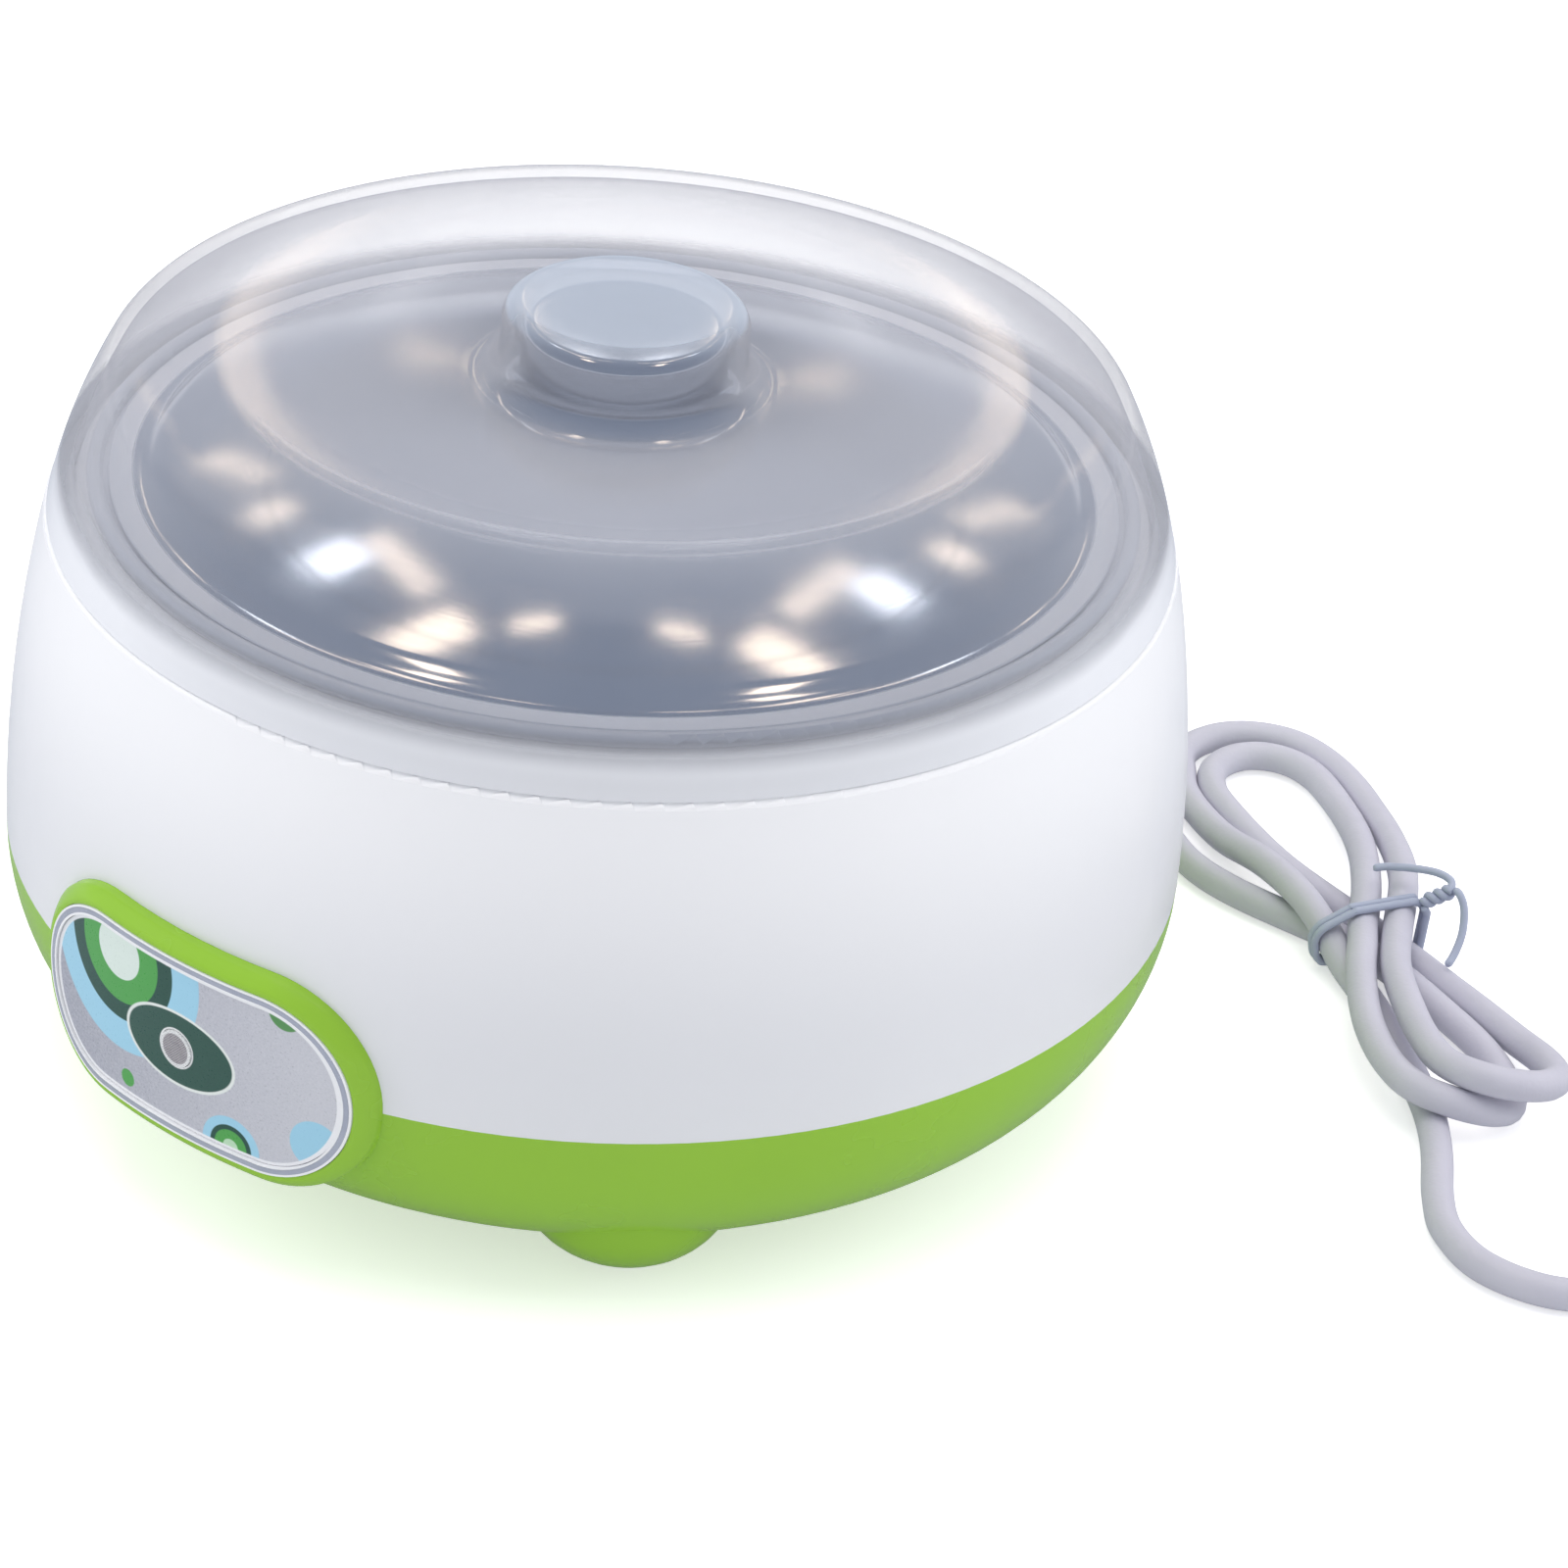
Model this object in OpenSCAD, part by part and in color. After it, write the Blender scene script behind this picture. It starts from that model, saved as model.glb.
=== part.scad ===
// Yogurt maker: green base, white body, frosted cover with a hollow knob,
// steel pot with its own steel lid, heater, indicator lamp and mains cord.
// Millimetres. +Z is up, the panel faces -Y, the table is z = 0.

/* [Body] */
// Radius of the body at its widest, where green meets white
body_r = 90; // [89:0.5:91]
// Height of the joint between the green base and the white body
waist_z = 34.6; // [34:0.2:35.2]
// Height of the seam between the white body and the frosted cover
seam_z = 86.2; // [85.8:0.1:86.6]
// Radius of the long curve of the white side
side_arc = 225; // [215:1:240]
// Radius of the curve that turns the green side under
base_arc = 31; // [30:0.5:32]
// Height of the flat underside above the table
floor_z = 8; // [7.5:0.1:8.4]
// Thickness of the moulded plastic walls
wall = 2.3; // [2:0.1:2.5]

/* [Frosted cover] */
// Radius of the ball that the cover's side is cut from
cover_ball = 86; // [85.8:0.1:86.3]
// Height of the crest round the top of the cover
crest_z = 112.1; // [111.6:0.1:113]
// Radius at which the top is highest
crest_r = 58.2; // [56:0.2:60]
// Outer radius of the hollow knob
knob_r = 18.2; // [17.8:0.1:19]
// Height of the top of the knob
knob_z = 120.4; // [119.8:0.1:122]
// Thickness of the cover
cover_wall = 2; // [1.6:0.1:2.1]

/* [Steel pot and lid] */
// Inside radius of the pot
pot_r = 70; // [69.6:0.1:70.3]
// Thickness of the steel sheet
sheet = 0.8; // [0.6:0.1:0.9]
// Height of the underside of the pot
pot_z = 27.2; // [27:0.1:29]
// Height of the middle of the steel lid
dome_z = 106.4; // [106:0.1:106.6]
// Outer radius of the boss in the steel lid
boss_r = 15.2; // [14.4:0.1:15.4]
// Height of the top of that boss
boss_z = 117.4; // [115:0.1:117.6]

/* [Control panel] */
// Half the width of the panel recess
panel_w = 29.5; // [28:0.5:30.5]
// Half the height of the panel recess
panel_h = 14.8; // [14:0.2:15.2]
// Width of the green rim round the recess
rim_w = 2.3; // [2.1:0.1:2.6]
// Distance of the face of the green rim from the middle of the body
rim_face = 92.4; // [92.2:0.1:92.6]

/* [Feet] */
// Distance of each foot from the middle
foot_at = 65.2; // [64.6:0.2:65.6]
// Radius of a foot where it runs into the base
foot_r = 17; // [16.5:0.1:17.2]

/* [Mains cord] */
// Diameter of the cord
cord_d = 5; // [4.6:0.1:5]
// Thickness of the tied bundle of cord
bundle_t = 12; // [10:0.5:14]

/* [Hidden] */
fine = 180;
med = 60;
small = 36;
e = 0.01;
green = [0.55, 0.74, 0.24];
white = [0.93, 0.93, 0.94];
steel = [0.75, 0.75, 0.76];
frost = [0.90, 0.90, 0.88, 0.5];
grey = [0.74, 0.74, 0.78];
cord_grey = [0.86, 0.86, 0.89];

// Body levels
floor_t = 2.4;
floor_in = floor_z + floor_t;
base_cx = body_r - base_arc;
side_cx = body_r - side_arc;
collar_r = 79.4;
collar_z = 90.2;
ledge_z = 89;
liner_r = 75;
liner_t = 1.6;
liner_z = 22.4;
liner_floor = liner_z + liner_t;
liner_top = 90.6;
lip_r = body_r - wall;

// Cover
cover_cz = 66.8;
crest_arc = 41.7;
dish_arc = 190;
knob_fillet = 4;
knob_round = 3.2;
cover_corner = 5;

// Pot and steel lid
pot_flange = liner_top;
pot_bead = 1.2;
pot_bead_r = 76.7;
lid_seat = pot_flange + sheet;
lid_flange_r = 74.8;
dome_arc = 190;
dome_foot = 71.6;
dome_shoulder = 9;
foot_fillet = 5;
boss_fillet = 5;
boss_round = 2;

// Panel
panel_z = 34.8;
lamp_z = 34.4;
recess_face = 90.4;
panel_back = 87.6;
frame_face = 92.7;
label_face = 92.3;
frame_w = 1.5;
gap = 0.1;

// Heater
plate_r = 50;
plate_t = 1.6;
plate_top = liner_floor + plate_t;
liner_hole = 42;
plate_screw_at = 46;
mica_t = 0.4;
ptc_t = 2.6;
ptc_top = liner_floor - mica_t;
ptc_low = ptc_top - ptc_t;
clamp_top = ptc_low - mica_t;
clamp_t = 1;
heater_screw_x = 21;

// Screws in the feet
screw_r = 1.5;
screw_ledge = 6;
foot_low = 0.9;
foot_ball = 14;
foot_mid = 14.4;
pad_top = 2.2;
pad_r = 6.5;

// Cord exit at the back
exit_x = -14;
exit_z = 16.5;
cord_r = cord_d / 2;
sleeve_r = 8;
sleeve_in = 73.2;
sleeve_out = 91.2;
block_y = 48;
clamp_y = 65;

function unit(v) = v / norm(v);
// Where two circles cross, on the upper side
function meet(a, ra, b, rb) =
    let (d = norm(b - a),
         s = (d * d + ra * ra - rb * rb) / (2 * d),
         h = sqrt(max(0, ra * ra - s * s)),
         u = (b - a) / d)
    a + s * u + h * [-u[1], u[0]];

module spin() {
    rotate_extrude($fn = fine)
        children();
}

module box(a, b) {
    translate(a)
        cube(b - a);
}

module ring(r0, r1, z0, z1) {
    translate([0, 0, z0])
        difference() {
            cylinder(r = r1, h = z1 - z0, $fn = fine);
            translate([0, 0, -1])
                cylinder(r = r0, h = z1 - z0 + 2, $fn = fine);
        }
}

module along_exit(from) {
    translate([exit_x, from, exit_z])
        rotate([-90, 0, 0])
            children();
}

// A rectangle from the axis out, with its lower outer corner rounded
module cup_half(r, z0, z1, f) {
    translate([0, z0])
        square([r - f, z1 - z0]);
    translate([0, z0 + f])
        square([r, z1 - z0 - f]);
    translate([r - f, z0 + f])
        circle(f, $fn = med);
}

// Two discs' common part, with their outer corner rounded by f
module two_arcs(a, ra, b, rb, f) {
    c = meet(a, ra - f, b, rb - f);
    p = a + ra * unit(c - a);
    q = b + rb * unit(c - b);
    k = c + 3 * f * unit(unit(c - a) + unit(c - b));
    difference() {
        intersection() {
            translate(a)
                circle(ra, $fn = fine);
            translate(b)
                circle(rb, $fn = fine);
        }
        polygon([c, p, k, q]);
    }
    translate(c)
        circle(f, $fn = med);
}

// The fillet in the corner between a top arc (centre b, radius rb) and an
// upright wall at x = r
module inner_fillet(r, b, rb, f) {
    cz = b[1] + sqrt(pow(rb + f, 2) - pow(r + f - b[0], 2));
    m = [r + f, cz];
    q = b + rb * unit(m - b);
    difference() {
        polygon([[r - 1, cz], m, q, [q[0], q[1] - 4], [r - 1, q[1] - 4]]);
        translate(m)
            circle(f + e, $fn = med);
    }
}

// ---- frosted cover -------------------------------------------------------

// Points across the dished top, inset by t, from the axis to the crest
function dish_points(d, t, n = 14) =
    [for (i = [0:n])
        let (x = crest_r * i / n)
        [x, d[1] + sqrt(pow(dish_arc - t, 2) - pow(x - d[0], 2))]];

module cover_half(t) {
    b = [crest_r, crest_z - crest_arc];
    d = [crest_r, crest_z - dish_arc];
    k = knob_r - t;
    top = knob_z - t;
    rr = knob_round - t / 2;
    intersection() {
        two_arcs([0, cover_cz], cover_ball - t, b, crest_arc - t,
                 cover_corner - t);
        translate([crest_r, cover_cz])
            square([60, 80]);
    }
    polygon(concat([[crest_r, cover_cz], [0, cover_cz]], dish_points(d, t)));
    translate([0, cover_cz])
        square([k, top - rr - cover_cz]);
    translate([0, cover_cz])
        square([k - rr, top - cover_cz]);
    translate([k - rr, top - rr])
        circle(rr, $fn = med);
    inner_fillet(k, d, dish_arc - t, knob_fillet + t);
}

module outer_lid() {
    color(frost)
        union() {
            difference() {
                spin()
                    difference() {
                        cover_half(0);
                        cover_half(cover_wall);
                    }
                translate([0, 0, cover_cz - 30])
                    cylinder(r = 120, h = seam_z - cover_cz + 30, $fn = small);
            }
            ring(80.5, 82.4, seam_z, seam_z + 1.6);
        }
}

// ---- steel lid and pot ---------------------------------------------------

// The lid's half section: a shallow arc, a rounded shoulder, then a fillet
// that runs out into the flange
module dome_half(t) {
    c = [0, dome_z - dome_arc];
    k = boss_r - t;
    top = boss_z - t;
    rr = boss_round - t / 2;
    f = [dome_foot, lid_seat + sheet + foot_fillet];
    m = meet(c, dome_arc - dome_shoulder, f, dome_shoulder + foot_fillet);
    q = c + (dome_arc - t) * unit(m - c);
    intersection() {
        translate(c)
            circle(dome_arc - t, $fn = 360);
        polygon([[0, 80], [m[0], 80], m, q, q + 5 * unit(q - m), [0, q[1] + 20]]);
    }
    translate(m)
        circle(dome_shoulder - t + e, $fn = med);
    difference() {
        polygon([m, f, [f[0], 80], [m[0], 80]]);
        translate(f)
            circle(foot_fillet + t, $fn = med);
    }
    translate([0, 80])
        square([k, top - rr - 80]);
    translate([0, 80])
        square([k - rr, top - 80]);
    translate([k - rr, top - rr])
        circle(rr, $fn = med);
    inner_fillet(k, c, dome_arc - t, boss_fillet + t);
}

module pot_lid() {
    color(steel)
        union() {
            difference() {
                spin()
                    difference() {
                        dome_half(0);
                        dome_half(sheet);
                    }
                translate([0, 0, 60])
                    cylinder(r = 120, h = lid_seat - 60, $fn = small);
            }
            ring(69, lid_flange_r, lid_seat, lid_seat + sheet);
            ring(69, 69.6, lid_seat - 3, lid_seat + e);
        }
}

module inner_pot() {
    color(steel)
        union() {
            spin()
                difference() {
                    cup_half(pot_r + sheet, pot_z, lid_seat, 12 + sheet);
                    cup_half(pot_r, pot_z + sheet, lid_seat + 1, 12);
                }
            ring(pot_r, pot_bead_r, pot_flange, lid_seat);
            translate([0, 0, pot_flange + pot_bead])
                rotate_extrude($fn = fine)
                    translate([pot_bead_r, 0])
                        circle(pot_bead, $fn = small);
        }
}

// ---- white body ----------------------------------------------------------

// Points up the curve of the white side, inset by t, from z0 to z1
function side_points(t, z0, z1, n = 10) =
    [for (i = [0:n])
        let (z = z0 + (z1 - z0) * i / n)
        [side_cx + sqrt(pow(side_arc - t, 2) - pow(z - waist_z, 2)), z]];

function reverse(p) = [for (i = [len(p) - 1:-1:0]) p[i]];

module body_half() {
    f = 1;
    top = side_points(f, waist_z, seam_z - f, 1)[1];
    outer = side_points(0, waist_z, seam_z - f);
    inner = side_points(wall, waist_z, seam_z - wall);
    bore = liner_r + 0.4;
    polygon(concat(outer, [top, [top[0], seam_z], [collar_r, seam_z],
                   [collar_r, collar_z], [77.3, collar_z], [77.3, ledge_z],
                   [bore, ledge_z], [bore, seam_z - wall]],
                   reverse(inner)));
    translate(top)
        circle(f, $fn = small);
}

module stadium(w, h) {
    square([2 * (w - h), 2 * h], center = true);
    for (s = [-1, 1])
        translate([s * (w - h), 0])
            circle(h, $fn = med);
}

// A bar with a stadium section, running out of the front of the body
module panel_bar(w, h, from = 60, to = 110) {
    translate([0, -from, panel_z])
        rotate([90, 0, 0])
            linear_extrude(to - from)
                stadium(w, h);
}

module body_shell() {
    color(white)
        difference() {
            spin()
                body_half();
            panel_bar(panel_w + rim_w + gap, panel_h + rim_w + gap);
        }
}

module chamber_liner() {
    color(white)
        difference() {
            union() {
                spin()
                    difference() {
                        cup_half(liner_r, liner_z, liner_top, 8);
                        cup_half(liner_r - liner_t, liner_floor,
                                 liner_top + 1, 8 - liner_t);
                    }
                ring(liner_r - liner_t, 77.1, ledge_z, liner_top);
                at_feet()
                    translate([0, 0, floor_in])
                        cylinder(r = 4.2, h = liner_z - floor_in + 0.8, $fn = small);
                at_plate_screws()
                    translate([0, 0, 17])
                        cylinder(r = 3.6, h = liner_z - 17 + e, $fn = small);
            }
            translate([0, 0, liner_z - 1])
                cylinder(r = liner_hole, h = 5, $fn = fine);
            at_feet()
                translate([0, 0, floor_in - 1])
                    cylinder(r = screw_r, h = 10, $fn = small);
            at_plate_screws()
                translate([0, 0, 16])
                    cylinder(r = screw_r, h = 12, $fn = small);
        }
}

module at_feet() {
    for (a = [45:90:315])
        rotate([0, 0, a])
            translate([foot_at, 0, 0])
                children();
}

module at_plate_screws() {
    for (a = [30:120:270])
        rotate([0, 0, a])
            translate([plate_screw_at, 0, 0])
                children();
}

// ---- green base ----------------------------------------------------------

module base_half(t, z0) {
    intersection() {
        union() {
            translate([base_cx, waist_z])
                circle(base_arc - t, $fn = fine);
            translate([0, waist_z - base_arc])
                square([base_cx, base_arc]);
        }
        translate([0, z0])
            square([body_r + 5, waist_z - z0]);
    }
}

// Half section of a bowl-shaped foot, inset by t
module foot_half(t, z1) {
    intersection() {
        union() {
            translate([foot_r - foot_ball, foot_mid])
                circle(foot_ball - t, $fn = med);
            translate([0, foot_mid - foot_ball + t])
                square([foot_r - foot_ball, foot_ball]);
        }
        translate([0, foot_low + t])
            square([foot_r + 1, z1 - foot_low - t]);
    }
}

// One step of the rim's slope: w wide, and down from its face by this much
module rim_step(w, down) {
    intersection() {
        panel_bar(panel_w + w, panel_h + w);
        cylinder(r = rim_face - down, h = 90, $fn = fine);
    }
}

module panel_rim() {
    difference() {
        intersection() {
            union() {
                rim_step(rim_w - 1.7, 0);
                rim_step(rim_w - 1.1, 0.4);
                rim_step(rim_w - 0.5, 1);
                rim_step(rim_w, 1.8);
            }
            cylinder(r = rim_face, h = 90, $fn = fine);
        }
        translate([0, 0, waist_z - e])
            cylinder(r = panel_back, h = 60, $fn = fine);
        spin()
            base_half(wall, floor_in);
        difference() {
            panel_bar(panel_w, panel_h);
            cylinder(r = recess_face, h = 90, $fn = fine);
        }
    }
}

module base_shell() {
    color(green)
        difference() {
            union() {
                difference() {
                    union() {
                        spin()
                            base_half(0, floor_z);
                        at_feet()
                            rotate_extrude($fn = med)
                                foot_half(0, foot_mid);
                    }
                    spin()
                        base_half(wall, floor_in);
                    at_feet()
                        rotate_extrude($fn = med)
                            foot_half(wall, floor_in + 1);
                }
                difference() {
                    union() {
                        ring(85.8, lip_r, waist_z - 5, waist_z);
                        ring(85.8, lip_r - 0.3, waist_z - e, waist_z + 3.8);
                    }
                    box([-9, -95, waist_z - 6], [9, -80, waist_z + 6]);
                }
                panel_rim();
                at_feet()
                    translate([0, 0, foot_low])
                        cylinder(r = 5.4, h = floor_in - foot_low, $fn = small);
                along_exit(sleeve_in)
                    cylinder(r = sleeve_r, h = sleeve_out - sleeve_in, $fn = small);
            }
            at_feet() {
                cylinder(r = pad_r, h = pad_top, $fn = small);
                cylinder(r = 3.6, h = screw_ledge, $fn = small);
                cylinder(r = screw_r + 0.2, h = 12, $fn = small);
            }
            translate([0, -75, lamp_z])
                rotate([90, 0, 0])
                    cylinder(r = 3, h = 30, $fn = small);
            along_exit(70)
                cylinder(r = 4.7, h = 30, $fn = small);
            along_exit(86.4)
                cylinder(r = 6, h = 10, $fn = small);
            for (x = [-7, 7])
                translate([exit_x + x, clamp_y, floor_in - 1.6])
                    cylinder(r = 1.3, h = 4, $fn = small);
            for (a = [0:90:270])
                rotate([0, 0, a])
                    for (y = [-6, 0, 6])
                        box([33, y - 0.9, floor_z - 1], [50, y + 0.9, floor_in + 1]);
        }
}

// ---- control panel -------------------------------------------------------

module panel_slice(w, h, face) {
    intersection() {
        panel_bar(w, h);
        cylinder(r = face, h = 90, $fn = fine);
    }
}

module panel_frame() {
    color(grey)
        difference() {
            panel_slice(panel_w - gap, panel_h - gap, frame_face);
            panel_bar(panel_w - frame_w - gap, panel_h - frame_w - gap);
            cylinder(r = recess_face, h = 90, $fn = fine);
        }
}

module panel_label() {
    color(grey)
        difference() {
            panel_slice(panel_w - frame_w - 2 * gap, panel_h - frame_w - 2 * gap,
                        label_face);
            cylinder(r = recess_face, h = 90, $fn = fine);
            translate([0, -75, lamp_z])
                rotate([90, 0, 0])
                    cylinder(r = 3, h = 30, $fn = small);
        }
}

module lamp_rod(r, from, to) {
    translate([0, -from, lamp_z])
        rotate([90, 0, 0])
            cylinder(r = r, h = to - from, $fn = small);
}

module indicator_lens() {
    color([0.7, 0.68, 0.7])
        union() {
            lamp_rod(2.9, 86.2, 92.5);
            lamp_rod(4.2, 86.2, 87.3);
        }
}

module neon_lamp() {
    color([0.95, 0.6, 0.4])
        union() {
            lamp_rod(2.2, 77, 83.6);
            translate([0, -83.6, lamp_z])
                sphere(r = 2.2, $fn = small);
        }
}

module lamp_holder() {
    color(white)
        difference() {
            lamp_rod(3.6, 78, 86.2);
            lamp_rod(2.3, 70, 90);
        }
}

// ---- heater --------------------------------------------------------------

module heater_plate() {
    color([0.8, 0.8, 0.82])
        difference() {
            translate([0, 0, liner_floor])
                cylinder(r = plate_r, h = plate_t, $fn = fine);
            at_plate_screws()
                cylinder(r = 1.6, h = 40, $fn = small);
            for (s = [-1, 1])
                translate([s * heater_screw_x, 0, liner_floor - 1])
                    cylinder(r = 1.3, h = 2.2, $fn = small);
        }
}

module ptc_heater() {
    color([0.35, 0.33, 0.32])
        box([-13, -9, ptc_low], [13, 9, ptc_top]);
}

module mica_sheets() {
    color([0.8, 0.7, 0.5])
        union() {
            box([-17, -12, ptc_top], [17, 12, liner_floor]);
            box([-17, -12, clamp_top], [17, 12, ptc_low]);
        }
}

module heater_clamp() {
    color(steel)
        difference() {
            union() {
                box([-26, -6, clamp_top - clamp_t], [26, 6, clamp_top]);
                for (s = [-1, 1])
                    translate([s * 25.5, 0, 0])
                        box([-0.5, -6, clamp_top - clamp_t], [0.5, 6, liner_floor]);
            }
            for (s = [-1, 1])
                translate([s * heater_screw_x, 0, 0])
                    cylinder(r = 1.5, h = 40, $fn = small);
        }
}

module thermal_fuse() {
    color([0.85, 0.75, 0.4])
        translate([0, 18, liner_floor - 2.1])
            rotate([0, 90, 0])
                union() {
                    translate([0, 0, -6])
                        cylinder(r = 2, h = 12, $fn = small);
                    translate([0, 0, -12])
                        cylinder(r = 0.5, h = 24, $fn = small);
                }
}

// ---- wiring, clamp and screws --------------------------------------------

module terminal_block() {
    color(white)
        difference() {
            box([exit_x - 10, block_y, floor_in], [exit_x + 10, block_y + 10, 20.4]);
            for (x = [-5, 5])
                translate([exit_x + x, block_y + 5, 17])
                    cylinder(r = 2, h = 5, $fn = small);
        }
}

module cord_clamp() {
    color(grey)
        difference() {
            box([exit_x - 10, clamp_y - 3, floor_in], [exit_x + 10, clamp_y + 3, 20.4]);
            translate([exit_x, clamp_y - 5, exit_z])
                rotate([-90, 0, 0])
                    cylinder(r = cord_r + 0.1, h = 10, $fn = small);
            for (x = [-7, 7])
                translate([exit_x + x, clamp_y, 0])
                    cylinder(r = 1.5, h = 40, $fn = small);
        }
}

module screw(r, head_r, head_h, length) {
    difference() {
        cylinder(r = head_r, h = head_h, $fn = small);
        box([-0.4, -head_r * 0.7, -1], [0.4, head_r * 0.7, head_h * 0.5]);
        box([-head_r * 0.7, -0.4, -1], [head_r * 0.7, 0.4, head_h * 0.5]);
    }
    translate([0, 0, head_h - e])
        cylinder(r = r, h = length, $fn = small);
}

module base_screws() {
    color(steel)
        at_feet()
            translate([0, 0, screw_ledge - 2.2])
                screw(screw_r, 3, 2.2, 11);
}

module plate_screws() {
    color(steel)
        at_plate_screws()
            translate([0, 0, plate_top + 1])
                rotate([180, 0, 0])
                    screw(screw_r, 2.8, 1, 8);
}

module heater_screws() {
    color(steel)
        for (s = [-1, 1])
            translate([s * heater_screw_x, 0, clamp_top - clamp_t - 1.4])
                screw(1.3, 2.5, 1.4, liner_floor + 1 - clamp_top + clamp_t);
}

module clamp_screws() {
    color(steel)
        for (x = [-7, 7])
            translate([exit_x + x, clamp_y, 21.8])
                rotate([180, 0, 0])
                    screw(1.3, 2.5, 1.4, 20.4 - floor_in + 1.5);
}

// A point of the smooth curve through p, between points i and i + 1
function curve_at(p, i, t) =
    let (n = len(p) - 1,
         a = p[max(i - 1, 0)],
         b = p[i],
         c = p[min(i + 1, n)],
         d = p[min(i + 2, n)])
    0.5 * ((2 * b) + (c - a) * t + (2 * a - 5 * b + 4 * c - d) * t * t
           + (3 * b - a - 3 * c + d) * t * t * t);

function curve(p, steps) =
    [for (i = [0:len(p) - 2]) for (s = [0:steps - 1]) curve_at(p, i, s / steps),
     p[len(p) - 1]];

module tube(points, r, steps = 1, sides = 10) {
    c = curve(points, steps);
    n = len(c);
    rings = [for (i = [0:n - 1])
        let (t = unit(c[min(i + 1, n - 1)] - c[max(i - 1, 0)]),
             side = unit(cross(t, [0, 0, 1])),
             up = cross(side, t))
        for (k = [0:sides - 1])
            let (a = 360 * k / sides)
            c[i] + r * (cos(a) * side + sin(a) * up)];
    walls = [for (i = [0:n - 2]) for (k = [0:sides - 1])
        let (a = i * sides + k,
             b = i * sides + (k + 1) % sides)
        [a, b, b + sides, a + sides]];
    tris = [for (q = walls) for (f = [[q[0], q[1], q[2]], [q[0], q[2], q[3]]]) f];
    ends = [[for (k = [sides - 1:-1:0]) k],
            [for (k = [0:sides - 1]) (n - 1) * sides + k]];
    polyhedron(rings, concat(tris, ends));
}

module wiring() {
    color([0.5, 0.35, 0.25])
        union() {
            tube([[-19, 47.7, 15], [-19, 40, 13], [-12, 28, 13], [-6, 20, 16],
                  [-4, 13.5, 21.4]], 0.8, 1, 8);
            tube([[-9, 47.7, 15], [-7, 40, 13], [4, 34, 13], [16, 28, 15],
                  [17, 21, 20], [12.8, 18.2, 21.8]], 0.8, 1, 8);
            tube([[0.5, -76.1, 33.8], [3, -77.6, 28], [8, -77, 18], [12, -66, 12.5],
                  [14, -40, 12], [6, 0, 12], [-10, 30, 12], [-14, 47.7, 15]],
                 0.7, 1, 8);
        }
}

module foot_pads() {
    color([0.25, 0.25, 0.26])
        at_feet()
            cylinder(r = pad_r, h = pad_top, $fn = small);
}

module rating_label() {
    color(grey)
        translate([0, 0, floor_z - 0.2])
            linear_extrude(0.2)
                union() {
                    square([46, 22], center = true);
                    square([42, 26], center = true);
                    for (x = [-21, 21])
                        for (y = [-11, 11])
                            translate([x, y])
                                circle(2, $fn = small);
                }
}

// ---- cord ----------------------------------------------------------------

module strain_relief() {
    color(cord_grey)
        difference() {
            union() {
                along_exit(71.5)
                    cylinder(r = 5.6, h = 1.5, $fn = small);
                along_exit(72.9)
                    cylinder(r = 4.6, h = 14, $fn = small);
                along_exit(86.6)
                    cylinder(r1 = 5.4, r2 = 3.5, h = 22, $fn = small);
            }
            along_exit(60)
                cylinder(r = cord_r + 0.05, h = 60, $fn = small);
            for (y = [91:4:103])
                along_exit(y)
                    difference() {
                        cylinder(r = 8, h = 1.2, $fn = small);
                        translate([0, 0, -1])
                            cylinder(r = 3.4, h = 4, $fn = small);
                    }
        }
}

lead_points = [
    [-14, 58, 16.5], [-14, 84, 16.5], [-14, 108, 16.5], [-13, 116, 14],
    [-9, 124, 10], [-2, 129, 6], [7, 131, 3], [17, 128, 2.5],
    [25, 121, 2.5], [32, 112, 2.5], [40, 103, 2.5], [50, 97, 2.5],
    [60, 95, 2.5], [70, 95, 2.5], [76, 95, 2.5]];

module cord_lead() {
    color(cord_grey)
        tube(lead_points, cord_r);
}

// The bundle: its knot is at tie_at, its two loops end at loop_a and loop_b
tie_at = [84, 99];
loop_a = [44.5, 128];
loop_a_r = 18;
loop_b = [118, 74];
loop_b_r = 15;
waist_r = 9;

// The outline round two circles
module two_rounds(a, ra, b, rb) {
    d = norm(b - a);
    u = (b - a) / d;
    v = [-u[1], u[0]];
    s = (ra - rb) / d;
    c = sqrt(1 - s * s);
    m = u * s + v * c;
    n = u * s - v * c;
    translate(a)
        circle(ra, $fn = small);
    translate(b)
        circle(rb, $fn = small);
    polygon([a + ra * m, a + ra * n, b + rb * n, b + rb * m]);
}

module tie_ring(w, h, grow, t) {
    translate([tie_at[0], tie_at[1], bundle_t / 2])
        rotate([0, 0, -34])
            rotate([90, 0, 90])
                linear_extrude(t, center = true)
                    square([2 * (w + grow), h + 2 * grow], center = true);
}

module cord_hank() {
    color(cord_grey)
        difference() {
            linear_extrude(bundle_t)
                union() {
                    two_rounds(loop_a, loop_a_r, tie_at, waist_r);
                    two_rounds(loop_b, loop_b_r, tie_at, waist_r);
                }
            difference() {
                tie_ring(waist_r + 6, bundle_t, 1, 2);
                tie_ring(waist_r - 1.2, bundle_t - 2.4, 0, 3);
            }
        }
}

module cord_tie() {
    color(grey)
        difference() {
            tie_ring(waist_r, bundle_t, 0, 1.8);
            tie_ring(waist_r - 1.2, bundle_t - 2.4, 0, 3);
        }
}

tail_points = [
    [112, 68, 2.5], [119, 61, 2.5], [125, 53, 2.5], [130, 45, 2.5],
    [136, 38, 2.5], [145, 34, 2.5], [156, 36, 2.5], [164, 44, 2.5],
    [169, 55, 2.5], [170, 67, 2.5], [168, 79, 2.5], [162, 91, 3],
    [154.5, 101.5, 4.5], [148, 109.4, 6.5], [145, 113.2, 7]];

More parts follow.
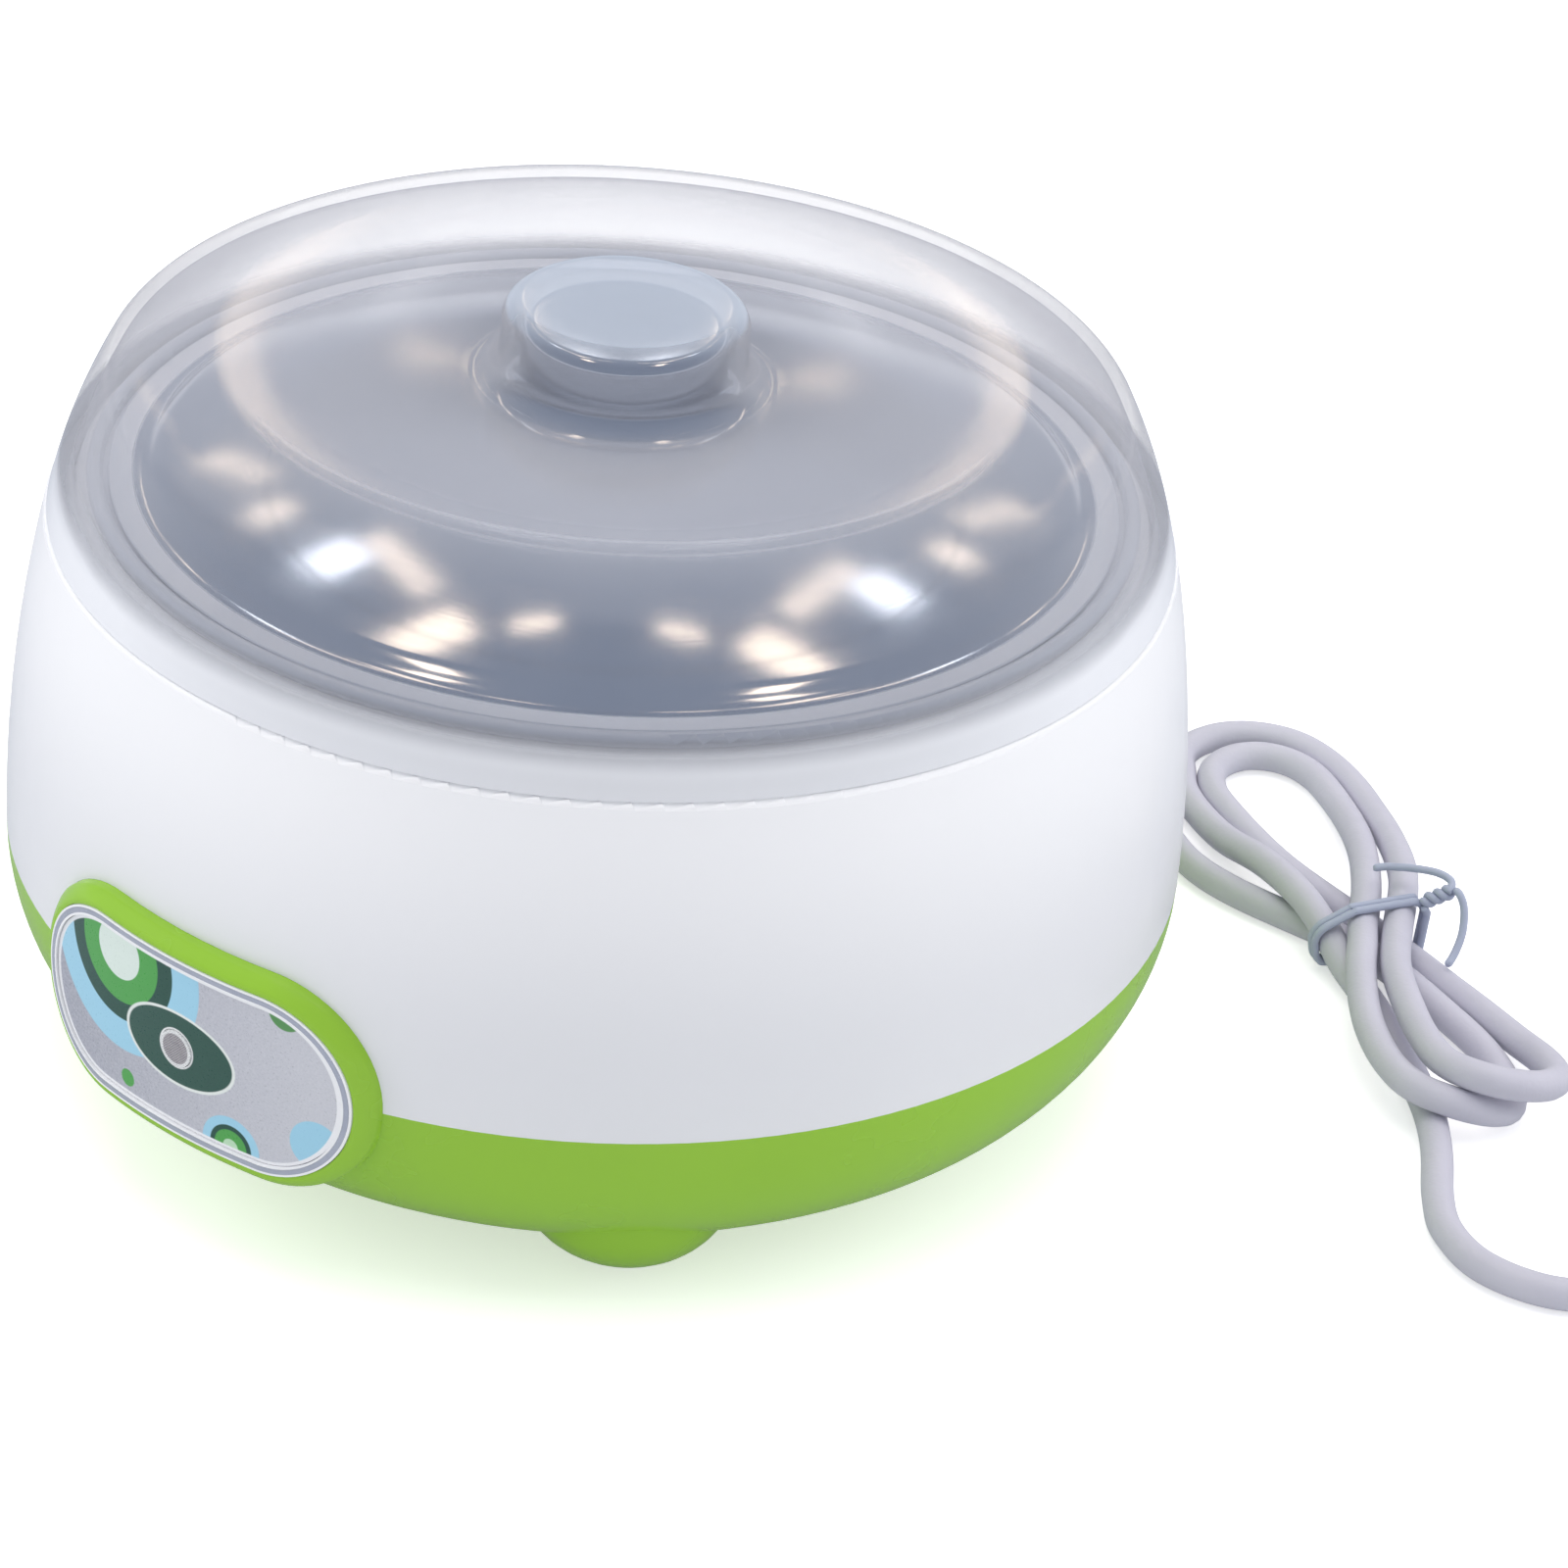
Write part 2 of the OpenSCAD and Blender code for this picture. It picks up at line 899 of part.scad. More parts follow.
module cord_tail() {
    color(cord_grey)
        tube(tail_points, cord_r);
}

plug_at = [145.5, 112.6, 7];

module at_plug() {
    translate(plug_at)
        rotate([0, 0, 38.3])
            rotate([-90, 0, 0])
                children();
}

module plug_body() {
    color(cord_grey)
        at_plug()
            difference() {
                union() {
                    cylinder(r1 = 3.4, r2 = 5, h = 16, $fn = small);
                    translate([0, 0, 14])
                        linear_extrude(24)
                            union() {
                                square([20, 13], center = true);
                                for (x = [-10, 10])
                                    translate([x, 0])
                                        circle(6.5, $fn = small);
                            }
                }
                translate([0, 0, -1])
                    cylinder(r = cord_r + 0.05, h = 8, $fn = small);
                for (x = [-9.5, 9.5])
                    translate([x, 0, 30])
                        cylinder(r = 2, h = 20, $fn = small);
            }
}

module plug_pins() {
    color(steel)
        at_plug()
            for (x = [-9.5, 9.5])
                translate([x, 0, 30]) {
                    cylinder(r = 2, h = 25, $fn = small);
                    translate([0, 0, 25])
                        sphere(r = 2, $fn = small);
                }
}

outer_lid();
pot_lid();
inner_pot();
body_shell();
chamber_liner();
base_shell();
panel_frame();
panel_label();
indicator_lens();
neon_lamp();
lamp_holder();
heater_plate();
ptc_heater();
mica_sheets();
heater_clamp();
thermal_fuse();
terminal_block();
cord_clamp();
base_screws();
plate_screws();
heater_screws();
clamp_screws();
wiring();
foot_pads();
rating_label();
strain_relief();
cord_lead();
cord_hank();
cord_tie();
cord_tail();
plug_body();
plug_pins();
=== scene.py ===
import math

import bmesh
import bpy
import numpy as np
from mathutils import Matrix, Vector


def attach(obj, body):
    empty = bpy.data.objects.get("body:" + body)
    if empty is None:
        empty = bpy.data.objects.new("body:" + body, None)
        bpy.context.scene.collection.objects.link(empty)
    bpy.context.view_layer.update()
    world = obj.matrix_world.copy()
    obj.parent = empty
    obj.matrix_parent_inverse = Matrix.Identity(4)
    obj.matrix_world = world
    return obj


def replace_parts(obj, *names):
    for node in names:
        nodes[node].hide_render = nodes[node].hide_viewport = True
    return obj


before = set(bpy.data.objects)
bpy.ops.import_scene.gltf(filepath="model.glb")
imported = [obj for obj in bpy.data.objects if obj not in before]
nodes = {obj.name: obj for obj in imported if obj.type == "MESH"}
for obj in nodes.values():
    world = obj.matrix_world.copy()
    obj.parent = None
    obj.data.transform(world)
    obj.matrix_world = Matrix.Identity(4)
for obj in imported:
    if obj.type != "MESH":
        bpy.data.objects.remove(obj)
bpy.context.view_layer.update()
scene = bpy.context.scene

MM = 0.001

# Sizes in millimetres, as in the CAD. PANEL_HALF is half the panel's straight part and PANEL_R
# the radius of its ends.
CORD_D = 5.0
PANEL_Z = 34.8
PANEL_HALF = 14.7
PANEL_R = 14.8
LAMP_Z = 34.4
SEAM_Z = 86.2
BALL_R, BALL_Z = 86, 66.8
CREST_R, CREST_Z, CREST_ARC = 58.2, 112.1, 41.7
COVER_WALL = 2.0
KNOB_R, KNOB_Z = 18.2, 120.4
DOME_Z, DOME_ARC = 106.4, 190
SHEET = 0.8
BOSS_R, BOSS_Z = 15.2, 117.4


# ---- camera ---------------------------------------------------------------

def turned(v, degrees):
    a = math.radians(degrees)
    return Vector((v.x * math.cos(a) - v.y * math.sin(a),
                   v.x * math.sin(a) + v.y * math.cos(a), v.z))


def make_camera(azimuth, elevation, distance, yaw, pitch, roll, lens):
    e = math.radians(elevation)
    place = Vector((0, -distance * math.cos(e), distance * math.sin(e)))
    ahead = -place.normalized()
    right = ahead.cross(Vector((0, 0, 1))).normalized()
    up = right.cross(ahead)
    ahead, right = (ahead * math.cos(yaw) + right * math.sin(yaw),
                    right * math.cos(yaw) - ahead * math.sin(yaw))
    ahead, up = (ahead * math.cos(pitch) + up * math.sin(pitch),
                 up * math.cos(pitch) - ahead * math.sin(pitch))
    right, up = (right * math.cos(roll) + up * math.sin(roll),
                 up * math.cos(roll) - right * math.sin(roll))
    place, ahead, right, up = [turned(v, azimuth) for v in (place, ahead, right, up)]
    data = bpy.data.cameras.new("camera")
    data.lens = lens
    data.sensor_width = 36
    data.clip_start = 0.01
    obj = bpy.data.objects.new("camera", data)
    obj.matrix_world = Matrix(((right.x, up.x, -ahead.x, place.x),
                               (right.y, up.y, -ahead.y, place.y),
                               (right.z, up.z, -ahead.z, place.z),
                               (0, 0, 0, 1)))
    scene.collection.objects.link(obj)
    scene.camera = obj


CAMERA_AZIMUTH = 38.3
make_camera(CAMERA_AZIMUTH, elevation=33.507, distance=0.775, yaw=0.03783, pitch=0.04474,
            roll=0.05888, lens=112.5)


# ---- node trees -----------------------------------------------------------

def srgb(r, g, b):
    return tuple(c / 255 / 12.92 if c / 255 <= 0.04045 else ((c / 255 + 0.055) / 1.055) ** 2.4
                 for c in (r, g, b))


class Tree:
    """A material's nodes: each method adds one node and returns its output."""

    def __init__(self, name):
        self.material = bpy.data.materials.new(name)
        self.material.use_nodes = True
        self.tree = self.material.node_tree
        self.shader = self.tree.nodes["Principled BSDF"]
        self.place = self.add("ShaderNodeTexCoord").outputs["Object"]

    def add(self, kind, **settings):
        node = self.tree.nodes.new(kind)
        for key, value in settings.items():
            setattr(node, key, value)
        return node

    def join(self, value, socket):
        if isinstance(value, bpy.types.NodeSocket):
            self.tree.links.new(value, socket)
        elif hasattr(value, "__len__") and len(value) == 3 and socket.type == "RGBA":
            socket.default_value = (*value, 1)
        else:
            socket.default_value = value

    def set(self, **values):
        for key, value in values.items():
            self.join(value, self.shader.inputs[key.replace("_", " ")])
        return self

    def math(self, operation, a, b=0.0, c=0.0, clamp=False):
        node = self.add("ShaderNodeMath", operation=operation, use_clamp=clamp)
        for socket, value in zip(node.inputs, (a, b, c)):
            self.join(value, socket)
        return node.outputs[0]

    def xyz(self, vector=None):
        node = self.add("ShaderNodeSeparateXYZ")
        self.join(self.place if vector is None else vector, node.inputs[0])
        return node.outputs

    def vector(self, x, y, z):
        node = self.add("ShaderNodeCombineXYZ")
        for socket, value in zip(node.inputs, (x, y, z)):
            self.join(value, socket)
        return node.outputs[0]

    def noise(self, scale, detail=3.0, rough=0.55, vector=None):
        node = self.add("ShaderNodeTexNoise")
        self.join(self.place if vector is None else vector, node.inputs["Vector"])
        node.inputs["Scale"].default_value = scale
        node.inputs["Detail"].default_value = detail
        node.inputs["Roughness"].default_value = rough
        return node.outputs["Fac"]

    def map(self, value, a0, a1, b0, b1, smooth=False):
        node = self.add("ShaderNodeMapRange")
        node.interpolation_type = "SMOOTHSTEP" if smooth else "LINEAR"
        for socket, v in zip(node.inputs, (value, a0, a1, b0, b1)):
            self.join(v, socket)
        return node.outputs[0]

    def mix(self, factor, a, b):
        node = self.add("ShaderNodeMix", data_type="RGBA")
        self.join(factor, node.inputs[0])
        self.join(a, node.inputs[6])
        self.join(b, node.inputs[7])
        return node.outputs[2]

    def bump(self, height, distance, strength=1.0, normal=None):
        node = self.add("ShaderNodeBump")
        node.inputs["Strength"].default_value = strength
        node.inputs["Distance"].default_value = distance
        self.join(height, node.inputs["Height"])
        if normal is not None:
            self.join(normal, node.inputs["Normal"])
        return node.outputs[0]

    def length(self, a, b):
        return self.math("SQRT", self.math("ADD", self.math("MULTIPLY", a, a),
                                           self.math("MULTIPLY", b, b)))

    def radius(self):
        x, y = self.xyz()[:2]
        return self.length(x, y)


def plastic(name, colour, shade, rough=0.28, grain=0.000006, drift=14):
    """Moulded plastic: faint colour drift, uneven gloss, fine skin and shallow sink marks."""
    t = Tree(name)
    t.set(Base_Color=t.mix(t.map(t.noise(drift, 2), 0.3, 0.7, 0.0, 1.0), shade, colour),
          Roughness=t.map(t.noise(45, 3, 0.6), 0.3, 0.7, rough - 0.02, rough + 0.03),
          Normal=t.bump(t.noise(1100, 2), grain, normal=t.bump(t.noise(20, 1), 0.00004)))
    return t


def rubber(name, colour, shade, rough=0.62):
    t = Tree(name)
    t.set(Base_Color=t.mix(t.noise(120, 4), shade, colour),
          Roughness=t.map(t.noise(300, 3), 0.3, 0.7, rough - 0.1, rough + 0.1),
          Normal=t.bump(t.noise(1500, 2), 0.00005))
    return t


def metal(name, colour, shade, rough=0.25, grain=0.00001, scale=700):
    t = Tree(name)
    t.set(Base_Color=t.mix(t.noise(40, 4), shade, colour), Metallic=1.0,
          Roughness=t.map(t.noise(scale, 4, 0.7), 0.3, 0.7, rough - 0.06, rough + 0.08),
          Normal=t.bump(t.noise(scale, 3), grain))
    return t


def spun_steel(name, colour, shade, rough, satin, start, lines=0.000002):
    """Pressed steel polished on a lathe: faint rings, uneven lustre and a satin rolled edge."""
    t = Tree(name)
    r = t.radius()
    rim = t.map(r, start - 0.0004, start + 0.0004, 0.0, 1.0, smooth=True)
    z = t.xyz()[2]
    rings = t.noise(1.0, 3, 0.7, t.vector(t.math("MULTIPLY", r, 2600.0),
                                          t.math("MULTIPLY", z, 1800.0), 0.0))
    cloud = t.noise(38, 4, 0.6)
    gloss = t.math("ADD", t.map(rings, 0.35, 0.65, -0.01, 0.015),
                   t.map(cloud, 0.3, 0.7, rough - 0.02, rough + 0.03))
    t.set(Base_Color=t.mix(rim, t.mix(cloud, shade, colour), srgb(198, 202, 212)),
          Metallic=t.math("MULTIPLY_ADD", rim, -satin, 1.0),
          Roughness=t.math("MULTIPLY_ADD", rim, 0.3 * satin, gloss),
          Normal=t.bump(rings, lines, normal=t.bump(t.noise(18, 2), 0.00006)))
    return t


LINER = plastic("liner_plastic", srgb(230, 231, 235), srgb(224, 225, 230), rough=0.4)
GREEN = plastic("green_plastic", srgb(152, 202, 56), srgb(146, 196, 50), rough=0.26)
CORD_SKIN = rubber("cord_sheath", srgb(204, 203, 215), srgb(193, 192, 205), rough=0.42)
PLUG_SKIN = rubber("plug_plastic", srgb(222, 221, 230), srgb(210, 209, 219), rough=0.45)
PAD_RUBBER = rubber("pad_rubber", srgb(214, 216, 216), srgb(196, 198, 199), rough=0.7)
TIE_SKIN = plastic("tie_sheath", srgb(184, 190, 210), srgb(168, 176, 197), rough=0.3)
STEEL_LID = spun_steel("lid_steel", srgb(206, 210, 218), srgb(196, 201, 211), 0.115, 0.6,
                       0.0712)
STEEL_POT = spun_steel("pot_steel", srgb(208, 211, 216), srgb(196, 200, 208), 0.16, 0.6, 0.0736)
ALUMINIUM = metal("cast_aluminium", srgb(206, 208, 212), srgb(188, 191, 196), rough=0.38,
                  grain=0.00004)
ZINC = metal("zinc_screw", srgb(204, 206, 208), srgb(176, 178, 182), rough=0.3)
BRASS = metal("nickel_pin", srgb(224, 220, 208), srgb(205, 200, 188), rough=0.22)
CERAMIC = plastic("ceramic", srgb(226, 222, 212), srgb(214, 209, 198), rough=0.6)
MICA = plastic("mica", srgb(190, 170, 132), srgb(164, 142, 104), rough=0.35)
BEIGE = plastic("terminal_nylon", srgb(232, 230, 222), srgb(222, 219, 210), rough=0.5)


def body_white_with_painted_light():
    """The white plastic of the body; painted light makes it brighter from 45 mm up to 84 mm."""
    t = plastic("body_plastic", srgb(233, 234, 238), srgb(229, 230, 235), rough=0.24)
    low = t.mix(t.noise(14, 2), srgb(229, 230, 234), srgb(234, 235, 239))
    # painted light: high is the painted lit white of the upper body, low the dimmer white below it
    high = t.mix(t.noise(9, 2), srgb(246, 247, 250), srgb(251, 251, 253))
    up = t.map(t.xyz()[2], 0.045, 0.084, 0.0, 1.0, smooth=True)
    return t.set(Base_Color=t.mix(up, low, high))


def frosted():
    """Natural polypropylene: a thin clear wall with a little milk in it, more at a slant."""
    t = Tree("frosted_plastic")
    haze = t.noise(30, 4, 0.6)
    z = t.xyz()[2]
    r = t.radius()
    slant = t.add("ShaderNodeLayerWeight")
    slant.inputs["Blend"].default_value = 0.5
    facing = slant.outputs["Facing"]
    thin = t.map(haze, 0.3, 0.7, 0.055, 0.075)
    milk = t.math("MULTIPLY_ADD", t.math("POWER", facing, 1.8), 0.62, thin)
    from_crest = t.math("ABSOLUTE", t.math("SUBTRACT", r, CREST_R * MM))
    # painted highlight: ring adds milk in a thin line along the crest, for the light the near
    # crest catches
    ring = t.math("MULTIPLY", t.map(facing, 0.53, 0.565, 0.10, 0.0, smooth=True),
                  t.map(from_crest, 0.0002, 0.0007, 1.0, 0.0))
    dish = t.math("MULTIPLY", t.map(facing, 0.44, 0.53, 0.0, 1.0, smooth=True),
                  t.math("MAXIMUM", t.map(r, 0.0580, 0.0590, 1.0, 0.15),
                         t.map(facing, 0.56, 0.60, 0.0, 1.0)))
    top = t.map(z, 0.1185, 0.1195, 0.0, 1.0, smooth=True)
    # painted light: the foot band is painted near white and made more opaque, standing in for the
    # white collar behind it, which lies in shade under the cover
    foot = t.map(z, 0.0895, 0.0945, 1.0, 0.0, smooth=True)
    for more in (ring, t.math("MULTIPLY", dish, 0.08), t.math("MULTIPLY", top, 0.08),
                 t.math("MULTIPLY", foot, 0.78)):
        milk = t.math("ADD", milk, more, clamp=True)
    colour = t.mix(haze, srgb(198, 200, 209), srgb(207, 209, 217))
    colour = t.mix(t.map(facing, 0.5, 0.9, 0.0, 1.0), colour, srgb(174, 174, 181))
    colour = t.mix(top, colour, srgb(208, 220, 236))
    # painted light: near-white colour of the foot band
    colour = t.mix(foot, colour, srgb(238, 240, 245))
    t.set(Base_Color=colour, Alpha=milk, IOR=1.49, Specular_IOR_Level=0.6,
          Roughness=t.map(haze, 0.3, 0.7, 0.10, 0.16),
          Normal=t.bump(t.noise(900, 2), 0.000004, normal=t.bump(t.noise(22, 2), 0.00005)))
    return t


def printed_panel():
    """Silver plate with painted shade at its left end and generic printed circles; u and v run
    round and up the plate in mm.
    """
    t = Tree("panel_print")
    x, y, z = t.xyz()
    u = t.math("MULTIPLY", t.math("ARCTAN2", x, t.math("MULTIPLY", y, -1.0)), 92.0)
    v = t.math("MULTIPLY_ADD", z, 1000.0, -PANEL_Z)

    def disc(cu, cv, r, stretch=1.0):
        du = t.math("MULTIPLY", t.math("SUBTRACT", u, cu), 1 / stretch)
        dv = t.math("SUBTRACT", v, cv)
        return t.map(t.length(du, dv), r - 0.07, r + 0.07, 1.0, 0.0)

    blue, dark, green = srgb(160, 212, 236), srgb(26, 78, 62), srgb(76, 166, 72)
    flakes = t.noise(2600, 2, 0.8)
    # painted shade: the plate is painted darker towards its left end and lighter to the right, as
    # light falls across it
    painted_shade_ramp = t.map(u, -26.0, 24.0, 0.0, 1.0)
    colour = t.mix(painted_shade_ramp, srgb(166, 168, 181), srgb(210, 211, 218))
    colour = t.mix(t.map(flakes, 0.45, 0.7, 0.0, 0.35), colour, srgb(232, 232, 238))
    ink = 0.0
    for cu, cv, r, paint in (
            (-12.2, 10.2, 16.4, blue), (-12.2, 10.2, 11.3, dark), (-12.2, 10.2, 8.4, green),
            (-12.2, 10.2, 4.6, srgb(222, 236, 228)), (-10, -10.5, 1.4, green),
            (10.2, -12.7, 5.0, blue), (10.2, -12.7, 3.6, dark), (10.2, -12.7, 2.8, green),
            (10.2, -12.7, 1.3, srgb(190, 226, 190)), (24.2, -7.2, 4.1, blue),
            (19, 13.3, 2.8, srgb(88, 150, 84))):
        mask = disc(cu, cv, r)
        colour = t.mix(mask, colour, paint)
        ink = t.math("MAXIMUM", ink, mask)
    for r, stretch, paint in ((6.2, 1.7, srgb(232, 238, 234)), (5.75, 1.74, srgb(40, 84, 70))):
        mask = disc(0.3, -0.4, r, stretch)
        colour = t.mix(mask, colour, paint)
        ink = t.math("MAXIMUM", ink, mask)
    mask = disc(0, -0.4, 3.25)
    colour = t.mix(mask, colour, srgb(238, 240, 240))
    ends = t.math("MAXIMUM", t.math("SUBTRACT", t.math("ABSOLUTE", u), PANEL_HALF), 0.0)
    edge = t.map(t.length(ends, v), 12.55, 12.7, 0.0, 1.0)
    colour = t.mix(edge, colour, srgb(244, 245, 248))
    ink = t.math("MAXIMUM", ink, edge)
    t.set(Base_Color=colour, Metallic=t.math("MULTIPLY_ADD", ink, -0.15, 0.15),
          Roughness=t.map(flakes, 0.3, 0.7, 0.26, 0.36), Coat_Weight=0.5,
          Coat_Roughness=0.06, Normal=t.bump(flakes, 0.000004))
    return t


def plated_frame():
    """The oval frame: a bright plated bar with painted highlights, thin white lines along both
    edges.
    """
    t = Tree("frame_plating")
    x, z = t.xyz()[0], t.xyz()[2]
    ends = t.math("MAXIMUM", t.math("SUBTRACT", t.math("ABSOLUTE", x), PANEL_HALF * MM), 0.0)
    up = t.math("SUBTRACT", z, PANEL_Z * MM)
    across = t.math("ABSOLUTE", t.math("SUBTRACT", t.length(ends, up), 0.01395))
    # painted highlight: lip picks out the frame's two edges, painted white and not metal, for
    # light caught on their bevels
    lip = t.map(across, 0.00036, 0.00044, 0.0, 1.0)
    silver = t.mix(t.noise(300, 3), srgb(196, 200, 212), srgb(216, 219, 228))
    t.set(Base_Color=t.mix(lip, silver, srgb(244, 245, 248)),
          Metallic=t.math("MULTIPLY_ADD", lip, -0.7, 0.7),
          Roughness=t.map(t.noise(500, 3), 0.3, 0.7, 0.18, 0.28),
          Normal=t.bump(lip, 0.00006))
    return t


def ribbed_lens():
    """A small lamp window with fine crossed ribs and a printed white edge."""
    t = Tree("lens_plastic")
    x, z = t.xyz()[0], t.xyz()[2]
    w = t.math("SUBTRACT", z, LAMP_Z * MM)
    edge = t.map(t.length(x, w), 0.00235, 0.00245, 0.0, 1.0)
    ribs = t.math("MULTIPLY", t.math("SINE", t.math("MULTIPLY", x, 14000.0)),
                  t.math("SINE", t.math("MULTIPLY", w, 14000.0)))
    weave = t.mix(t.map(ribs, -1.0, 1.0, 0.0, 1.0), srgb(128, 124, 130), srgb(196, 192, 196))
    t.set(Base_Color=t.mix(edge, weave, srgb(238, 240, 241)),
          Roughness=t.map(t.noise(900, 2), 0.3, 0.7, 0.22, 0.34), Coat_Weight=0.3,
          Coat_Roughness=0.1, Normal=t.bump(ribs, 0.00006))
    return t


def sticker():
    """A blank silver rating sticker with a plain printed border."""
    t = Tree("sticker_foil")
    x, y = t.xyz()[:2]
    inside = t.math("MINIMUM", t.math("SUBTRACT", 0.0215, t.math("ABSOLUTE", x)),
                    t.math("SUBTRACT", 0.0115, t.math("ABSOLUTE", y)))
    line = t.math("MULTIPLY", t.map(inside, 0.0, 0.0001, 0.0, 1.0),
                  t.map(inside, 0.0003, 0.0004, 1.0, 0.0))
    t.set(Base_Color=t.mix(line, t.mix(t.noise(60, 3), srgb(214, 215, 218), srgb(226, 227, 230)),
                           srgb(84, 88, 94)),
          Metallic=0.6, Roughness=t.map(t.noise(400, 3), 0.3, 0.7, 0.3, 0.45))
    return t


BODY = body_white_with_painted_light()
FROST = frosted()
PANEL = printed_panel()
FRAME = plated_frame()
LENS = ribbed_lens()
STICKER = sticker()


# ---- shapes ---------------------------------------------------------------

def keep(name, mesh, body, tree, angle=30.0):
    obj = bpy.data.objects.new(name, mesh)
    scene.collection.objects.link(obj)
    mesh.materials.append(tree.material)
    mesh.shade_smooth()
    mesh.set_sharp_from_angle(angle=math.radians(angle))
    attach(obj, body)
    return obj


def mesh_of(name, points, faces):
    mesh = bpy.data.meshes.new(name)
    mesh.from_pydata([tuple(float(c) * MM for c in p) for p in points], [], faces)
    bm = bmesh.new()
    bm.from_mesh(mesh)
    bmesh.ops.remove_doubles(bm, verts=bm.verts, dist=1e-7)
    bmesh.ops.recalc_face_normals(bm, faces=bm.faces)
    bm.to_mesh(mesh)
    bm.free()
    return mesh


def lathe(name, outline, turns=256):
    """A closed outline of (radius, height) points, turned round the Z axis."""
    n = len(outline)
    points = []
    for k in range(turns):
        a = 2 * math.pi * k / turns
        points += [(r * math.cos(a), r * math.sin(a), z) for r, z in outline]
    faces = []
    for k in range(turns):
        m = (k + 1) % turns
        for i in range(n):
            j = (i + 1) % n
            ids = [k * n + i, m * n + i, m * n + j, k * n + j]
            if outline[i][0] < 1e-9 and outline[j][0] < 1e-9:
                continue
            if outline[i][0] < 1e-9:
                ids = [ids[0], ids[2], ids[3]]
            elif outline[j][0] < 1e-9:
                ids = ids[:3]
            faces.append(ids)
    return mesh_of(name, points, faces)


def arc(centre, radius, a0, a1, n):
    return [(centre[0] + radius * math.cos(math.radians(a0 + (a1 - a0) * i / n)),
             centre[1] + radius * math.sin(math.radians(a0 + (a1 - a0) * i / n)))
            for i in range(n + 1)]


def crossing(a, ra, b, rb):
    """Where two circles cross, on the upper side."""
    a, b = np.array(a, float), np.array(b, float)
    d = np.linalg.norm(b - a)
    s = (d * d + ra * ra - rb * rb) / (2 * d)
    u = (b - a) / d
    return a + s * u + math.sqrt(ra * ra - s * s) * np.array([-u[1], u[0]])


def angle_at(centre, p):
    return math.degrees(math.atan2(p[1] - centre[1], p[0] - centre[0]))


def inset(line, t):
    """The open line moved sideways by t, to the left of its direction."""
    p = np.array(line, float)
    d = np.gradient(p, axis=0)
    d /= np.linalg.norm(d, axis=1)[:, None]
    q = p + t * np.stack([-d[:, 1], d[:, 0]], 1)
    q[-1] = (0, p[-1][1] - t)
    return [tuple(v) for v in q]


def evened(line, step):
    p = np.array(line, float)
    s = np.r_[0, np.cumsum(np.linalg.norm(np.diff(p, axis=0), axis=1))]
    t = np.linspace(0, s[-1], max(2, int(s[-1] / step)))
    return [tuple(v) for v in np.stack([np.interp(t, s, p[:, k]) for k in (0, 1)], 1)]


def cover_line():
    """The cover's outer side, from its foot up over the crest to the knob's middle."""
    ball, crest = (0, BALL_Z), (CREST_R, CREST_Z - CREST_ARC)
    dish_arc, corner, fillet, round_r = 190, 5.0, 4, 3.2
    dish = (CREST_R, CREST_Z - dish_arc)
    c = crossing(ball, BALL_R - corner, crest, CREST_ARC - corner)
    foot = math.degrees(math.asin((SEAM_Z + 0.1 - BALL_Z) / BALL_R))
    line = arc(ball, BALL_R, foot, angle_at(ball, c), 30)
    line += arc(c, corner, angle_at(ball, c), angle_at(crest, c), 12)[1:]
    line += arc(crest, CREST_ARC, angle_at(crest, c), 90, 12)[1:]
    x = KNOB_R + fillet
    m = (x, dish[1] + math.sqrt((dish_arc + fillet) ** 2 - (x - dish[0]) ** 2))
    line += arc(dish, dish_arc, 90, angle_at(dish, m), 30)[1:]
    line += arc(m, fillet, angle_at(m, dish), -180, 12)[1:]
    line += arc((KNOB_R - round_r, KNOB_Z - round_r), round_r, 0, 90, 10)
    line += [(10, KNOB_Z), (5, KNOB_Z), (0, KNOB_Z)]
    return line


def make_cover():
    outer = cover_line()
    z0 = outer[0][1]
    lip = [(80.6, z0), (80.5, z0 + 0.2), (80.5, z0 + 1.4), (80.7, z0 + 1.6)]
    inner = [(r, z) for r, z in inset(evened(outer, 0.6), COVER_WALL)
             if r >= 0 and (z > z0 + 1.7 or r < 60)]
    outline = outer + inner[::-1] + lip[::-1]
    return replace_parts(keep("frosted_cover", lathe("frosted_cover", outline, 288), "cover",
                            FROST, 35), "outer_lid")


def lid_line():
    """The steel lid's upper side, from its flange over the shallow dome to the boss's middle."""
    fillet, bend, boss_fillet, boss_round = 5, 9, 5, 2
    dome, foot = (0, DOME_Z - DOME_ARC), (71.6, 92.2 + fillet)
    shoulder = crossing(dome, DOME_ARC - bend, foot, bend + fillet)
    line = [(74.6, 91.5), (74.8, 91.7), (74.8, 92.0), (74.6, 92.2), (73.6, 92.2), (72.6, 92.2)]
    line += arc(foot, fillet, -90, angle_at(foot, shoulder), 10)
    line += arc(shoulder, bend, angle_at(shoulder, foot), angle_at(dome, shoulder), 8)[1:]
    x = BOSS_R + boss_fillet
    m = (x, dome[1] + math.sqrt((DOME_ARC + boss_fillet) ** 2 - x ** 2))
    line += arc(dome, DOME_ARC, angle_at(dome, shoulder), angle_at(dome, m), 40)[1:]
    line += arc(m, boss_fillet, angle_at(m, dome), -180, 12)[1:]
    line += arc((BOSS_R - boss_round, BOSS_Z - boss_round), boss_round, 0, 90, 8)
    line += [(8, BOSS_Z), (4, BOSS_Z), (0, BOSS_Z)]
    return line


